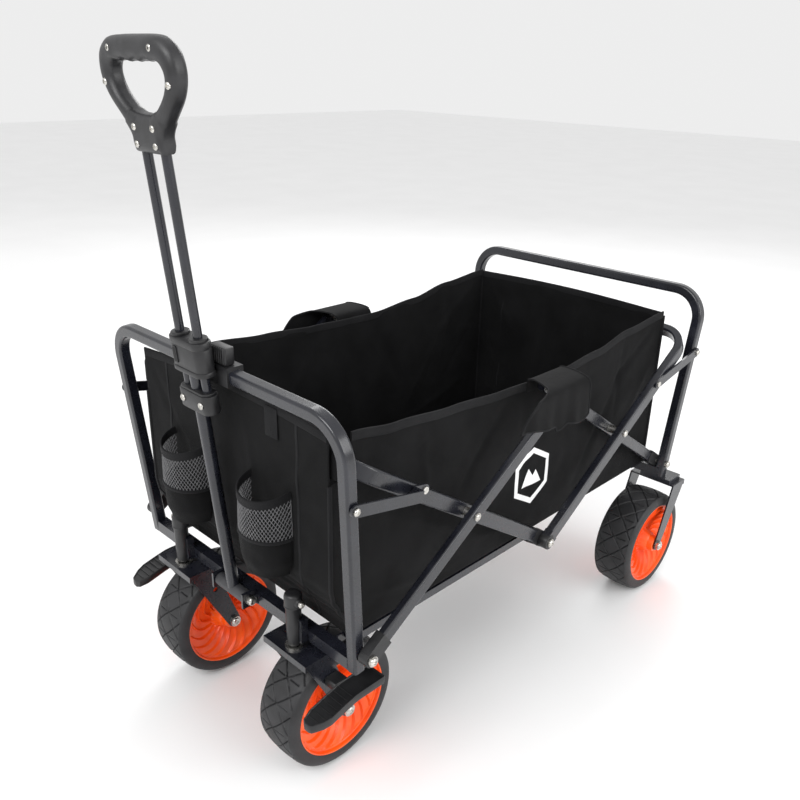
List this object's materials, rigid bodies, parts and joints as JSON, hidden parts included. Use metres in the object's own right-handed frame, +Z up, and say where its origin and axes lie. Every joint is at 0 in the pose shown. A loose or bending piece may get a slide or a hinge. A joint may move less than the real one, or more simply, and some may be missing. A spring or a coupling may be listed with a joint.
{
  "type": "folding camp wagon",
  "caption": "Folding camp wagon: fabric bag in a scissor-folding tube frame, telescoping pull handle with D grip, swivelling braked front casters and fixed rear wheels.",
  "frame": {"origin": "ground point under the middle of the wagon's bounding box with the wagon open and the handle raised", "axes": "+Z up, -Y towards the pull handle and the casters, +X to the wagon's left"},
  "size_m": [0.562, 0.9708, 0.9827],
  "materials": {
    "black_paint": "gloss black powder coat",
    "black_plastic": "moulded black plastic, satin",
    "grey_plastic": "dark grey moulded plastic",
    "grip_plastic": "fine-grained black plastic",
    "nickel_steel": "nickel-plated steel",
    "orange_plastic": "glossy orange plastic",
    "tyre_rubber": "black rubber-like tyre, lattice tread",
    "bag_fabric": "black woven polyester",
    "pocket_mesh": "open mesh with bound edges over black polyester",
    "mat_fabric": "black padded polyester board"
  },
  "bodies": {
    "front_frame": {"front_frame": "black_paint", "front_floor_lugs": "black_paint", "caster_posts": "black_plastic", "caster_post_saddles": "black_paint", "handle_bracket": "black_paint", "handle_latch_clip": "black_plastic", "front_leg_bolts": "nickel_steel", "bag_front_panel": "bag_fabric", "bottle_pockets": "pocket_mesh", "bag_side_left": "bag_fabric", "bag_side_right": "bag_fabric", "bag_floor": "bag_fabric", "floor_mat": "mat_fabric"},
    "front_bars": {"front_bars": "black_paint", "front_bar_shoes": "black_plastic", "front_bar_pins": "nickel_steel"},
    "rear_bars": {"rear_bars": "black_paint", "rear_bar_shoes": "black_plastic"},
    "rear_frame": {"rear_frame": "black_paint", "rear_fork_mounts": "black_paint", "rear_forks": "black_paint", "rear_axles": "nickel_steel", "rear_leg_bolts": "nickel_steel", "rear_floor_lugs": "black_paint", "bag_rear_panel": "bag_fabric"},
    "front_hoop": {"front_hoop": "black_paint", "front_hoop_knuckles": "black_plastic", "hoop_hinge_pins": "nickel_steel"},
    "rear_hoop": {"rear_hoop": "black_paint", "rear_crossing_rivets": "nickel_steel"},
    "front_links": {"front_links": "black_paint", "front_link_rivets": "nickel_steel"},
    "rear_links": {"rear_links": "black_paint", "rear_link_rivets": "nickel_steel"},
    "front_floor": {"front_floor_rack": "black_paint"},
    "rear_floor": {"rear_floor_rack": "black_paint"},
    "side_flaps": {"bag_flaps": "bag_fabric"},
    "handle": {"handle_pivot_sleeve": "grey_plastic", "handle_spine": "black_paint", "handle_upper_collar": "black_plastic"},
    "handle_grip": {"handle_rods": "black_paint", "handle_lower_collar": "black_plastic", "grip_shell_front": "grip_plastic", "grip_shell_back": "grip_plastic", "grip_screws": "nickel_steel"},
    "latch_button": {"handle_latch_button": "black_plastic"},
    "caster_left": {"caster_fork_left": "black_paint", "caster_pins_left": "nickel_steel"},
    "caster_right": {"caster_fork_right": "black_paint", "caster_pins_right": "nickel_steel"},
    "pedal_left": {"brake_pedal_left": "black_plastic"},
    "pedal_right": {"brake_pedal_right": "black_plastic"},
    "wheel_front_left": {"front_left_tyre": "tyre_rubber", "front_left_hub": "orange_plastic"},
    "wheel_front_right": {"front_right_tyre": "tyre_rubber", "front_right_hub": "orange_plastic"},
    "wheel_rear_left": {"rear_left_tyre": "tyre_rubber", "rear_left_hub": "orange_plastic"},
    "wheel_rear_right": {"rear_right_tyre": "tyre_rubber", "rear_right_hub": "orange_plastic"}
  },
  "joints": [
    {"name": "fold", "type": "hinge", "parent": "front_frame", "child": "front_bars", "pos_m": [0, -0.37403, 0.2558], "axis": [1, 0, 0], "range_deg": [0, 44.85], "deforming": ["bag_side_left", "bag_side_right", "bag_floor", "floor_mat"]},
    {"name": "rear_bars_cross", "type": "hinge", "parent": "front_bars", "child": "rear_bars", "pos_m": [0, 0.0224, 0.51473], "axis": [1, 0, 0], "range_deg": [-89.75, 0]},
    {"name": "rear_frame_stand", "type": "hinge", "parent": "rear_bars", "child": "rear_frame", "pos_m": [0, 0.41883, 0.2558], "axis": [1, 0, 0], "range_deg": [0, 44.9]},
    {"name": "front_hoop_cross", "type": "hinge", "parent": "front_bars", "child": "front_hoop", "pos_m": [0, -0.17582, 0.38526], "axis": [1, 0, 0], "range_deg": [-89.75, 0]},
    {"name": "rear_hoop_open", "type": "hinge", "parent": "front_hoop", "child": "rear_hoop", "pos_m": [0, 0.0224, 0.2558], "axis": [1, 0, 0], "range_deg": [0, 89.75]},
    {"name": "front_link_swing", "type": "hinge", "parent": "front_frame", "child": "front_links", "pos_m": [0, -0.39839, 0.48], "axis": [1, 0, 0], "range_deg": [0, 75.22]},
    {"name": "rear_link_swing", "type": "hinge", "parent": "rear_frame", "child": "rear_links", "pos_m": [0, 0.44319, 0.48], "axis": [1, 0, 0], "range_deg": [-75.22, 0]},
    {"name": "front_floor_lift", "type": "hinge", "parent": "front_frame", "child": "front_floor", "pos_m": [0, -0.3496, 0.243], "axis": [1, 0, 0], "range_deg": [0, 78.54]},
    {"name": "rear_floor_lift", "type": "hinge", "parent": "rear_frame", "child": "rear_floor", "pos_m": [0, 0.3944, 0.243], "axis": [1, 0, 0], "range_deg": [-78.54, 0]},
    {"name": "flap_hang", "type": "hinge", "parent": "front_bars", "child": "side_flaps", "pos_m": [0, 0.0224, 0.51473], "axis": [1, 0, 0], "range_deg": [-44.9, 0]},
    {"name": "handle_tilt", "type": "hinge", "parent": "front_frame", "child": "handle", "pos_m": [0, -0.3976, 0.2395], "axis": [1, 0, 0], "range_deg": [0, 98]},
    {"name": "handle_extend", "type": "slide", "parent": "handle", "child": "handle_grip", "axis": [0, -0.1028, 0.9947], "range_m": [-0.219, 0]},
    {"name": "latch_press", "type": "slide", "parent": "front_frame", "child": "latch_button", "axis": [0, 1, 0], "range_m": [0, 0.004], "stiffness_N_per_m": 300},
    {"name": "caster_swivel_left", "type": "hinge", "parent": "front_frame", "child": "caster_left", "pos_m": [0.14, -0.3971, 0.25], "axis": [0, 0, 1], "continuous": true},
    {"name": "wheel_spin_front_left", "type": "hinge", "parent": "caster_left", "child": "wheel_front_left", "pos_m": [0.14, -0.3406, 0.1], "axis": [1, 0, 0], "continuous": true},
    {"name": "brake_press_left", "type": "hinge", "parent": "caster_left", "child": "pedal_left", "pos_m": [0.14, -0.3716, 0.175], "axis": [1, 0, 0], "range_deg": [0, 14]},
    {"name": "wheel_spin_rear_left", "type": "hinge", "parent": "rear_frame", "child": "wheel_rear_left", "pos_m": [0.23, 0.3854, 0.1], "axis": [1, 0, 0], "continuous": true},
    {"name": "caster_swivel_right", "type": "hinge", "parent": "front_frame", "child": "caster_right", "pos_m": [-0.14, -0.3971, 0.25], "axis": [0, 0, 1], "continuous": true},
    {"name": "wheel_spin_front_right", "type": "hinge", "parent": "caster_right", "child": "wheel_front_right", "pos_m": [-0.14, -0.3406, 0.1], "axis": [1, 0, 0], "continuous": true},
    {"name": "brake_press_right", "type": "hinge", "parent": "caster_right", "child": "pedal_right", "pos_m": [-0.14, -0.3716, 0.175], "axis": [1, 0, 0], "range_deg": [0, 14]},
    {"name": "wheel_spin_rear_right", "type": "hinge", "parent": "rear_frame", "child": "wheel_rear_right", "pos_m": [-0.23, 0.3854, 0.1], "axis": [1, 0, 0], "continuous": true}
  ],
  "couplings": [
    {"joint": "rear_bars_cross", "follows": "fold", "ratio": -2},
    {"joint": "rear_frame_stand", "follows": "fold", "ratio": 1},
    {"joint": "front_hoop_cross", "follows": "fold", "ratio": -2},
    {"joint": "rear_hoop_open", "follows": "fold", "ratio": 2},
    {"joint": "front_link_swing", "follows": "fold", "ratio": 1.676},
    {"joint": "rear_link_swing", "follows": "fold", "ratio": -1.676},
    {"joint": "front_floor_lift", "follows": "fold", "ratio": 1.75},
    {"joint": "rear_floor_lift", "follows": "fold", "ratio": -1.75},
    {"joint": "flap_hang", "follows": "fold", "ratio": -1}
  ]
}
